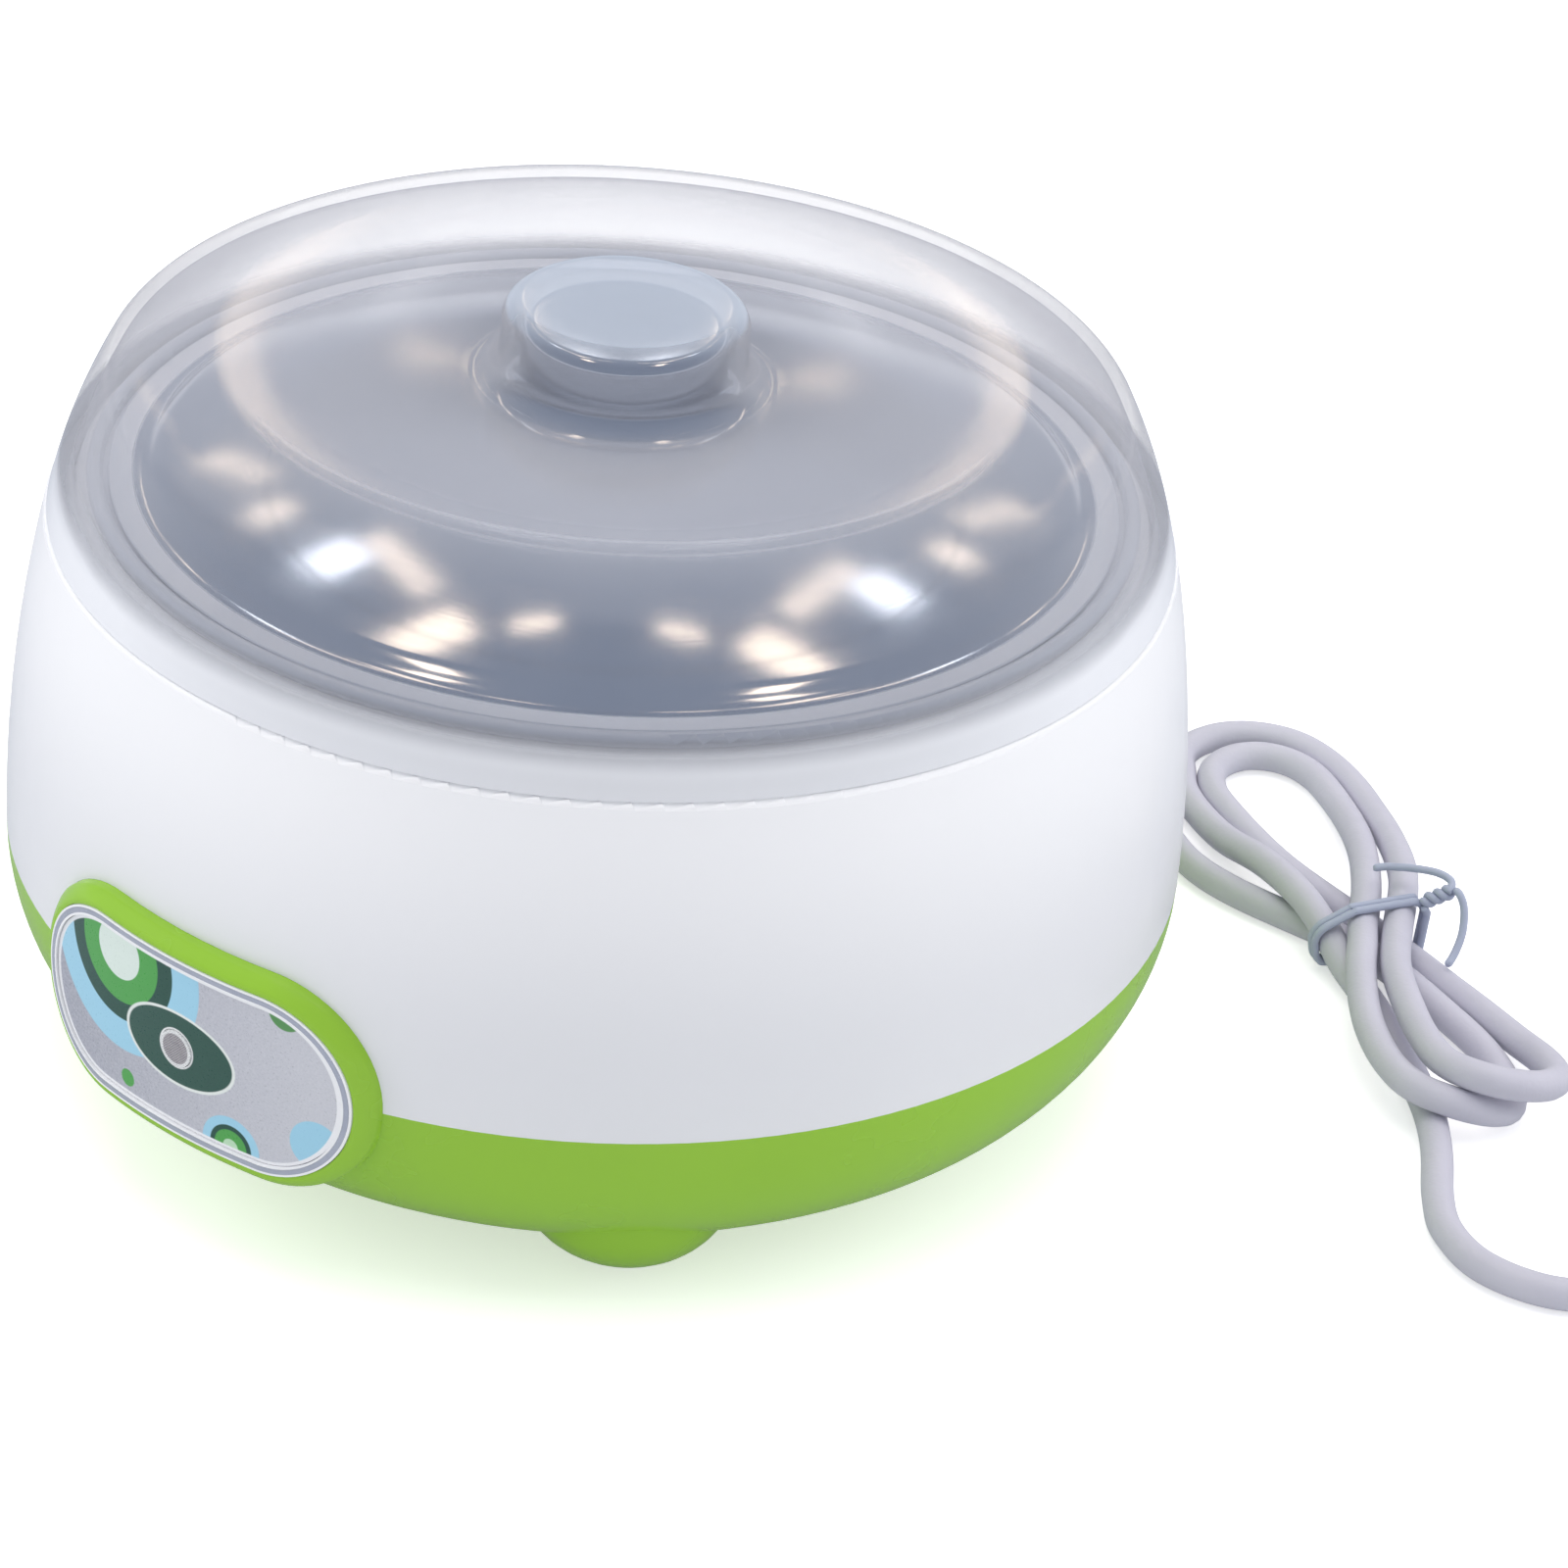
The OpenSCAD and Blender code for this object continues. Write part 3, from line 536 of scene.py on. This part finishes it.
def make_lid():
    outer = lid_line()
    inner = [(r, z) for r, z in inset(evened(outer[5:], 0.5), SHEET)
             if 0 <= r < 68.4 and (z > 91.5 or r < 60)]
    skirt = [(69.6, 91.4), (69.6, 88.5), (69.3, 88.4), (69.0, 88.5), (69.0, 91.5)]
    outline = outer + inner[::-1] + skirt[::-1]
    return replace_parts(keep("steel_lid_dome", lathe("steel_lid_dome", outline, 288), "steel_lid",
                            STEEL_LID, 40), "pot_lid")


def sweep(name, rings, closed_ring=True, closed_section=False, caps=False):
    """Joins rings of points, each to the next, into one skin."""
    n, m = len(rings[0]), len(rings)
    points = [p for ring in rings for p in ring]
    faces = []
    for k in range(m if closed_ring else m - 1):
        a, b = k * n, (k + 1) % m * n
        for i in range(n if caps or closed_section else n - 1):
            j = (i + 1) % n
            faces.append([a + i, b + i, b + j, a + j])
    if caps:
        faces += [list(range(n))[::-1], list(range((m - 1) * n, m * n))]
    return mesh_of(name, points, faces)


def make_rim():
    """The rounded green rim round the panel: a section swept round the stadium."""
    section = [(2.37, 88.4), (2.37, 90.7), (2.25, 90.95), (1.95, 91.35), (1.6, 91.75),
               (1.25, 92.1), (0.9, 92.38), (0.6, 92.53), (0.3, 92.58), (0, 92.5),
               (-0.07, 92.3), (-0.07, 90.5)]
    half, r = PANEL_HALF, PANEL_R
    track = [(half * (1 - 2 * k / 24), 90) for k in range(24)]
    track += [(-half, 90 + 180 * k / 48) for k in range(48)]
    track += [(half * (2 * k / 24 - 1), 270) for k in range(24)]
    track += [(half, -90 + 180 * k / 48) for k in range(48)]
    rings = []
    for x0, a in track:
        ca, sa = math.cos(math.radians(a)), math.sin(math.radians(a))
        ring = []
        for out, radius in section:
            x, z = x0 + (r + out) * ca, (r + out) * sa
            ring.append((x, -math.sqrt(radius ** 2 - x * x), PANEL_Z + z))
        rings.append(ring)
    keep("panel_rim_skin", sweep("panel_rim_skin", rings, closed_section=True), "body", GREEN,
         50)


make_cover()
make_lid()
make_rim()


# ---- CAD pieces that stay -------------------------------------------------

SHARP_EDGE = 32


def smooth_group():
    """Smooth shading, apart from edges sharper than SHARP_EDGE degrees."""
    g = bpy.data.node_groups.new("smooth_by_angle", "GeometryNodeTree")
    g.interface.new_socket("Geometry", in_out="INPUT", socket_type="NodeSocketGeometry")
    g.interface.new_socket("Geometry", in_out="OUTPUT", socket_type="NodeSocketGeometry")
    source, sink = g.nodes.new("NodeGroupInput"), g.nodes.new("NodeGroupOutput")
    faces = g.nodes.new("GeometryNodeSetShadeSmooth")
    edges = g.nodes.new("GeometryNodeSetShadeSmooth")
    edges.domain = "EDGE"
    edges.inputs["Shade Smooth"].default_value = False
    angle = g.nodes.new("GeometryNodeInputMeshEdgeAngle")
    sharp = g.nodes.new("FunctionNodeCompare")
    sharp.data_type, sharp.operation = "FLOAT", "GREATER_THAN"
    sharp.inputs[1].default_value = math.radians(SHARP_EDGE)
    g.links.new(source.outputs[0], faces.inputs["Geometry"])
    g.links.new(faces.outputs[0], edges.inputs["Geometry"])
    g.links.new(angle.outputs["Unsigned Angle"], sharp.inputs[0])
    g.links.new(sharp.outputs[0], edges.inputs["Selection"])
    g.links.new(edges.outputs[0], sink.inputs[0])
    return g


SMOOTH = smooth_group()


def finish_node(name, tree):
    obj = nodes[name]
    obj.data.materials.clear()
    obj.data.materials.append(tree.material)
    weld = obj.modifiers.new("weld", "WELD")
    weld.merge_threshold = 0.000002
    obj.modifiers.new("smooth", "NODES").node_group = SMOOTH


# ---- cord -----------------------------------------------------------------

ROUTE = [
    (-14, 84, 16.5), (-14, 108, 16.5), (-13, 116, 14), (-9, 124, 10), (-2, 129, 6),
    (7, 131, 3), (17, 128, 2.5), (25, 121, 2.5), (32, 112, 2.5), (40, 103, 2.5),
    (50, 97, 2.5), (60, 95, 2.5), (72, 95, 2.5), (84, 95, 2.5),
    # first right loop
    (95, 92, 2.5), (105, 88, 2.5), (114, 84, 2.5), (121, 79, 2.5), (126, 73, 3),
    (126, 67, 5), (122, 62, 7), (116, 60, 8), (109, 63, 8), (101, 70, 8), (94, 79, 8),
    (87, 90, 8),
    # inner left loop
    (79, 104, 8), (70, 117, 6), (60, 128, 3.5), (51, 135, 2.5), (43, 137, 2.5),
    (37, 134, 2.5), (35, 128, 2.5), (37, 121, 2.5), (44, 116, 2.5), (53, 111, 2.5),
    (62, 107, 2.5), (72, 104, 2.5), (83, 101, 2.5),
    # second right loop
    (96, 97, 2.5), (107, 93, 3), (118, 88, 4), (126, 83, 6), (131, 77, 8), (130, 70, 10),
    (125, 65, 11.5), (118, 65, 11), (111, 70, 10), (104, 77, 9), (96, 86, 8.5),
    (90, 96, 8.5),
    # outer left loop
    (83, 109, 8.5), (74, 121, 6), (63, 132, 3.5), (52, 140, 2.5), (41, 143, 2.5),
    (32, 139, 2.5), (28, 131, 2.5), (30, 122, 2.5), (38, 114, 2.5), (50, 106, 4),
    (62, 100, 7), (74, 94, 7.5), (85, 88, 4.5),
    # free end
    (95, 82, 2.5), (104, 75, 2.5), (112, 68, 2.5), (119, 61, 2.5), (125, 53, 2.5),
    (130, 45, 2.5), (136, 38, 2.5), (145, 34, 2.5), (156, 36, 2.5), (164, 44, 2.5),
    (169, 55, 2.5), (170, 67, 2.5), (168, 79, 2.5), (162, 91, 3), (154.5, 101.5, 4.5),
    (148, 109.4, 6.5), (145, 113.2, 7)]
LEAD_POINTS = 10
TAIL_POINTS = 12


def spline(p, n):
    """A smooth curve through the points, n steps between each two."""
    out = []
    for i in range(len(p) - 1):
        a, b, c, d = p[max(i - 1, 0)], p[i], p[i + 1], p[min(i + 2, len(p) - 1)]
        for k in range(n):
            t = k / n
            out.append(0.5 * (2 * b + (c - a) * t + (2 * a - 5 * b + 4 * c - d) * t * t
                              + (3 * b - a - 3 * c + d) * t ** 3))
    return np.array(out + [p[-1]])


def spaced(q, step):
    s = np.r_[0, np.cumsum(np.linalg.norm(np.diff(q, axis=0), axis=1))]
    t = np.linspace(0, s[-1], int(round(s[-1] / step)) + 1)
    return np.stack([np.interp(t, s, q[:, k]) for k in range(3)], 1)


def settle(q, d, step, free, rounds):
    """Eases the cord's turns apart until they lie on and beside each other."""
    home = q.copy()
    i, j = np.triu_indices(len(q), int(3.2 * d / step))
    w = free[:, None]
    for _ in range(rounds):
        q[:, 2] -= 0.004 * free * (q[:, 2] > d / 2)
        q += 0.03 * w * (home - q)
        m = q.copy()
        m[1:-1] = 0.5 * (q[:-2] + q[2:])
        m[2:-2] = (-q[:-4] + 4 * q[1:-3] + 4 * q[3:-1] - q[4:]) / 6
        q += 0.5 * w * (m - q)
        v = q[i] - q[j]
        far = np.linalg.norm(v, axis=1)
        k = far < d
        if k.any():
            a, b = i[k], j[k]
            push = 0.5 * (d - far[k])[:, None] * v[k] / np.maximum(far[k], 1e-6)[:, None]
            move, count = np.zeros_like(q), np.zeros(len(q))
            np.add.at(move, a, push)
            np.add.at(move, b, -push)
            np.add.at(count, a, 1)
            np.add.at(count, b, 1)
            q += 1.6 * w * move / np.maximum(count, 1)[:, None]
        for _ in range(2):
            e = q[1:] - q[:-1]
            long = np.linalg.norm(e, axis=1)[:, None]
            c = 0.25 * (long - step) * e / long
            q[:-1] += c * w[:-1]
            q[1:] -= c * w[1:]
        q[:, 2] = np.maximum(q[:, 2], np.where(free > 0, d / 2, q[:, 2]))
    return q


def cord_line():
    """The route as a smooth line, its looped part settled on itself and on the floor."""
    step, slack = 1.5, 0.02
    p = np.array(ROUTE, float)
    q = spaced(spline(p, 12), step)
    s = np.r_[0, np.cumsum(np.linalg.norm(np.diff(q, axis=0), axis=1))]

    def reach(point):
        return s[np.linalg.norm(q - point, axis=1).argmin()]

    start, end = reach(p[LEAD_POINTS - 1]), reach(p[-TAIL_POINTS])
    free = np.clip(np.minimum((s - start) / 12, (end - s) / 12), 0, 1)
    q = settle(q, CORD_D + slack, step, free, 250)
    q[:, 2] = np.maximum(q[:, 2], CORD_D / 2 + slack)
    return spaced(spline(q, 3), 0.8)


def tube(name, line, diameter, body, tree, sides=6):
    data = bpy.data.curves.new(name, "CURVE")
    data.dimensions = "3D"
    data.bevel_depth = diameter / 2 * MM
    data.bevel_resolution = sides
    data.use_fill_caps = True
    track = data.splines.new("POLY")
    track.points.add(len(line) - 1)
    track.points.foreach_set("co", [c for p in line for c in (*(float(v) * MM for v in p), 1.0)])
    obj = bpy.data.objects.new(name, data)
    scene.collection.objects.link(obj)
    data.materials.append(tree.material)
    for s in data.splines:
        s.use_smooth = True
    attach(obj, body)
    return obj


CORD_LINE = cord_line()
cord = tube("mains_cord", CORD_LINE, CORD_D, "body", CORD_SKIN)
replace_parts(cord, "cord_lead", "cord_hank", "cord_tail")

TIE_AT = np.array((87.0, 97.0, 0.0))
ALONG = np.array((0.829, -0.559, 0.0))
ACROSS = np.array((0.559, 0.829, 0.0))
UP = np.array((0.0, 0.0, 1.0))
WIRE = 1.3


def at_tie(along, across, high):
    return TIE_AT + along * ALONG + across * ACROSS + high * UP


def smooth_line(points, step=0.4):
    line = spaced(spline(np.array(points, float), 10), step)
    line[:, 2] = np.maximum(line[:, 2], WIRE / 2 + 0.02)
    return line


def wire_mesh(name, lines, diameter, sides=12):
    """Round closed wires along the lines, with domed ends."""
    points, faces = [], []
    for line in lines:
        d = np.gradient(line, axis=0)
        d /= np.linalg.norm(d, axis=1)[:, None]
        u = np.cross(d[0], (0.3, 0.5, 0.8))
        start, n, m = len(points), sides, len(line)
        for k in range(m):
            u = u - (u @ d[k]) * d[k]
            u /= np.linalg.norm(u)
            v = np.cross(d[k], u)
            r = diameter / 2 * (0.6 if k in (0, m - 1) else 1)
            points += [line[k] + r * (math.cos(2 * math.pi * i / n) * u
                                      + math.sin(2 * math.pi * i / n) * v) for i in range(n)]
        for k in range(m - 1):
            for i in range(n):
                a, b = start + k * n, start + (k + 1) * n
                faces.append([a + i, a + (i + 1) % n, b + (i + 1) % n, b + i])
        faces += [[start + i for i in range(n)][::-1], [start + (m - 1) * n + i for i in range(n)]]
    return mesh_of(name, points, faces)


def make_tie():
    """A plastic-coated wire: two turns drawn tight round the bundle, a twist, two ends."""
    local = CORD_LINE - TIE_AT
    a, p = local @ ALONG, local @ ACROSS
    near = (np.abs(a) < 3) & (np.abs(p) < 20)
    cut = np.stack([p[near], CORD_LINE[near, 2]], 1)

    def turn(angle, extra):
        way = np.array([math.cos(angle), math.sin(angle)])
        far = cut[(cut @ way).argmax()] + way * (CORD_D / 2 + WIRE / 2 + extra)
        return far[0], max(far[1], WIRE / 2 + 0.02)

    start = math.radians(52)
    line = []
    for k in range(129):
        angle = start + 4 * math.pi * k / 128
        far, high = turn(angle, -0.1)
        line.append(at_tie(-1.6 + 2.6 * k / 128 + 0.5 * math.sin(angle), far, high))
    line = smooth_line(line[::2])
    knot = line[0] + 0.5 * (line[-1] - line[0])
    out = 0.75 * ACROSS + 0.55 * UP + 0.36 * ALONG
    out /= np.linalg.norm(out)
    side = np.cross(out, ALONG)
    side /= np.linalg.norm(side)
    other = np.cross(out, side)

    def twisted(phase):
        strand = []
        for k in range(25):
            t = k / 24
            w = phase + 2 * math.pi * 1.6 * t
            r = 0.72
            strand.append(knot + out * (0.6 + 5.0 * t) + r * (math.cos(w) * side
                                                               + math.sin(w) * other))
        return strand

    first, second = twisted(0.0), twisted(math.pi)
    tip = first[-1]
    a0, p0, z0 = (tip - TIE_AT) @ ALONG, (tip - TIE_AT) @ ACROSS, tip[2]
    end_a = [at_tie(a0 + da, p0 + dp, z0 + dz) for da, dp, dz in (
        (-1.5, 0.8, 0.8), (-4, -0.5, 1.0), (-7, -3.5, 0.4), (-9.5, -7, -0.4),
        (-10, -9, -0.8))]
    end_b = [at_tie(a0 + da, p0 + dp, z0 + dz) for da, dp, dz in (
        (1.2, 1.0, 0.2), (3, 1.4, -1.6), (5.2, 0.6, -4.6), (7.2, -1.2, -7.0),
        (8.8, -3.2, -8.4))]
    mesh = wire_mesh("wire_tie", [line, smooth_line(first + end_a), smooth_line(second + end_b)],
                     WIRE)
    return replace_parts(keep("wire_tie", mesh, "body", TIE_SKIN, 60), "cord_tie")


PLUG_AT = (145.5, 112.6, 7.0)
PLUG_TURN = 38.3


def make_plug():
    """The moulded plug: a round neck that swells into a flat ribbed grip."""
    place = Vector(PLUG_AT)
    ahead = turned(Vector((0, 1, 0)), PLUG_TURN)
    right = turned(Vector((1, 0, 0)), PLUG_TURN)
    rows = [(0, 3.3, 3.3, 2), (1, 3.5, 3.5, 2), (5, 3.9, 3.9, 2), (10, 4.4, 4.4, 2),
            (12.5, 5.2, 4.9, 2.1), (14.5, 8.6, 5.6, 2.3), (16.2, 12.6, 6.1, 2.6),
            (18, 15.0, 6.35, 3.0), (20, 16.2, 6.45, 3.2)]
    for k in range(6):
        s = 21.5 + 2 * k
        rows += [(s, 16.5, 6.5, 3.3), (s + 0.7, 16.5, 6.5, 3.3), (s + 1.0, 15.9, 6.2, 3.3),
                 (s + 1.5, 15.9, 6.2, 3.3)]
    rows += [(34, 16.5, 6.5, 3.3), (36.8, 16.5, 6.5, 3.3), (37.6, 16.2, 6.2, 3.2),
             (38, 15.4, 5.4, 3.1)]
    rings = []
    for s, w, h, power in rows:
        ring = []
        for k in range(72):
            t = 2 * math.pi * k / 72
            c, d = math.cos(t), math.sin(t)
            x = w * math.copysign(abs(c) ** (2 / power), c)
            z = h * math.copysign(abs(d) ** (2 / power), d)
            ring.append(place + ahead * s + right * x + Vector((0, 0, z)))
        rings.append(ring)
    mesh = sweep("plug_grip", rings, closed_ring=False, caps=True)
    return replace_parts(keep("plug_grip", mesh, "body", PLUG_SKIN, 40), "plug_body")


tie = make_tie()
plug = make_plug()

for name, tree in {
        "inner_pot": STEEL_POT, "body_shell": BODY, "chamber_liner": LINER,
        "base_shell": GREEN, "panel_frame": FRAME, "panel_label": PANEL,
        "indicator_lens": LENS, "neon_lamp": CERAMIC, "lamp_holder": BEIGE,
        "heater_plate": ALUMINIUM, "ptc_heater": CERAMIC, "mica_sheets": MICA,
        "heater_clamp": ZINC, "thermal_fuse": ZINC, "terminal_block": BEIGE,
        "cord_clamp": BEIGE, "base_screws": ZINC, "plate_screws": ZINC,
        "heater_screws": ZINC, "clamp_screws": ZINC, "wiring": CORD_SKIN,
        "foot_pads": PAD_RUBBER, "rating_label": STICKER, "strain_relief": CORD_SKIN,
        "plug_pins": BRASS}.items():
    finish_node(name, tree)


# ---- floor and light ------------------------------------------------------

def make_floor():
    """A white floor, which the steel mirrors as a duller one, as in a dark studio."""
    t = Tree("floor_white")
    ray = t.add("ShaderNodeLightPath").outputs
    white = t.mix(t.noise(3, 2), (0.90, 0.90, 0.90), (0.93, 0.93, 0.93))
    white = t.mix(ray["Is Camera Ray"], (0.72, 0.73, 0.74), white)
    t.set(Base_Color=t.mix(ray["Is Glossy Ray"], white, (0.24, 0.27, 0.34)), Roughness=0.9,
          Emission_Color=(1.0, 1.0, 1.0),
          Emission_Strength=t.map(ray["Is Camera Ray"], 0.0, 1.0, 0.16, 0.5))
    mesh = bpy.data.meshes.new("floor")
    half, z = 4.0, -0.0002
    mesh.from_pydata([(-half, -half, z), (half, -half, z), (half, half, z), (-half, half, z)],
                     [], [(0, 1, 2, 3)])
    obj = bpy.data.objects.new("floor", mesh)
    scene.collection.objects.link(obj)
    mesh.materials.append(t.material)


def make_world():
    """Even white light; what is shiny mirrors a grey-blue room with a bright horizon."""
    world = bpy.data.worlds.new("world")
    scene.world = world
    world.use_nodes = True
    tree = world.node_tree
    path = tree.nodes.new("ShaderNodeLightPath")
    split = tree.nodes.new("ShaderNodeSeparateXYZ")
    place = tree.nodes.new("ShaderNodeTexCoord")
    room = tree.nodes.new("ShaderNodeMapRange")
    room.interpolation_type = "SMOOTHSTEP"
    room.inputs["From Min"].default_value = 0.02
    room.inputs["From Max"].default_value = 0.16
    shades = [(0.80, 0.82, 0.88), (0.28, 0.325, 0.42), (0.61, 0.62, 0.65), (1.0, 1.0, 1.0)]
    factors = [room.outputs[0], path.outputs["Is Glossy Ray"], path.outputs["Is Camera Ray"]]
    tree.links.new(place.outputs["Generated"], split.inputs[0])
    tree.links.new(split.outputs["Z"], room.inputs["Value"])
    mixes = []
    for factor in factors:
        mix = tree.nodes.new("ShaderNodeMix")
        mix.data_type = "RGBA"
        tree.links.new(factor, mix.inputs[0])
        mixes.append(mix)
    mixes[0].inputs[6].default_value = (*shades[0], 1)
    mixes[0].inputs[7].default_value = (*shades[1], 1)
    mixes[1].inputs[6].default_value = (*shades[2], 1)
    tree.links.new(mixes[0].outputs[2], mixes[1].inputs[7])
    tree.links.new(mixes[1].outputs[2], mixes[2].inputs[6])
    mixes[2].inputs[7].default_value = (*shades[3], 1)
    tree.links.new(mixes[2].outputs[2], tree.nodes["Background"].inputs["Color"])


def softbox(name, azimuth, elevation, distance, size, bright, colour=(1, 1, 1), mirrored=True):
    """A soft light that looks at the object, placed from the camera's side round."""
    data = bpy.data.lights.new(name, "AREA")
    data.shape = "RECTANGLE"
    data.size, data.size_y = size
    data.energy = bright * math.pi * size[0] * size[1]
    data.color = colour
    obj = bpy.data.objects.new(name, data)
    obj.visible_glossy = mirrored
    a = math.radians(azimuth + CAMERA_AZIMUTH)
    e = math.radians(elevation)
    way = Vector((math.sin(a) * math.cos(e), -math.cos(a) * math.cos(e), math.sin(e)))
    target = Vector((0, 0, 0.06))
    obj.location = target + way * distance
    obj.rotation_euler = way.to_track_quat("Z", "Y").to_euler()
    scene.collection.objects.link(obj)


make_floor()
make_world()
WARM = (1.0, 0.77, 0.54)
FAR = 4.0
softbox("top_light", 0, 88, 1.8, (1.6, 1.6), 1.5, mirrored=False)
for side in (-1, 1):
    for name, azimuth, elevation, size, bright, colour in (
            ("white", 151, 48, (0.28, 0.32), 3.4, (1, 1, 1)),
            ("warm", 156, 52, (0.14, 0.70), 2.5, WARM),
            ("glow", 152, 38, (0.20, 0.24), 3.0, WARM),
            ("strip", 155, 29, (0.12, 0.60), 3.0, WARM),
            ("back", 174, 27, (0.24, 0.30), 5.0, WARM),
            ("dim", 178, 32, (0.12, 0.24), 4.0, (1, 1, 1)),
            ("low", 150, 62, (0.50, 0.30), 3.0, WARM),
            ("side", 95, 70, (0.80, 0.36), 4.0, WARM),
            ("mid", 167.5, 64, (0.24, 0.10), 4.0, WARM)):
        softbox("%s_%+d" % (name, side), azimuth * side, elevation, FAR, size, bright, colour)
    softbox("fill_%+d" % side, 98 * side, 25, 1.5, (1.0, 1.0), 2.2, mirrored=False)
scene.view_settings.view_transform = "Standard"
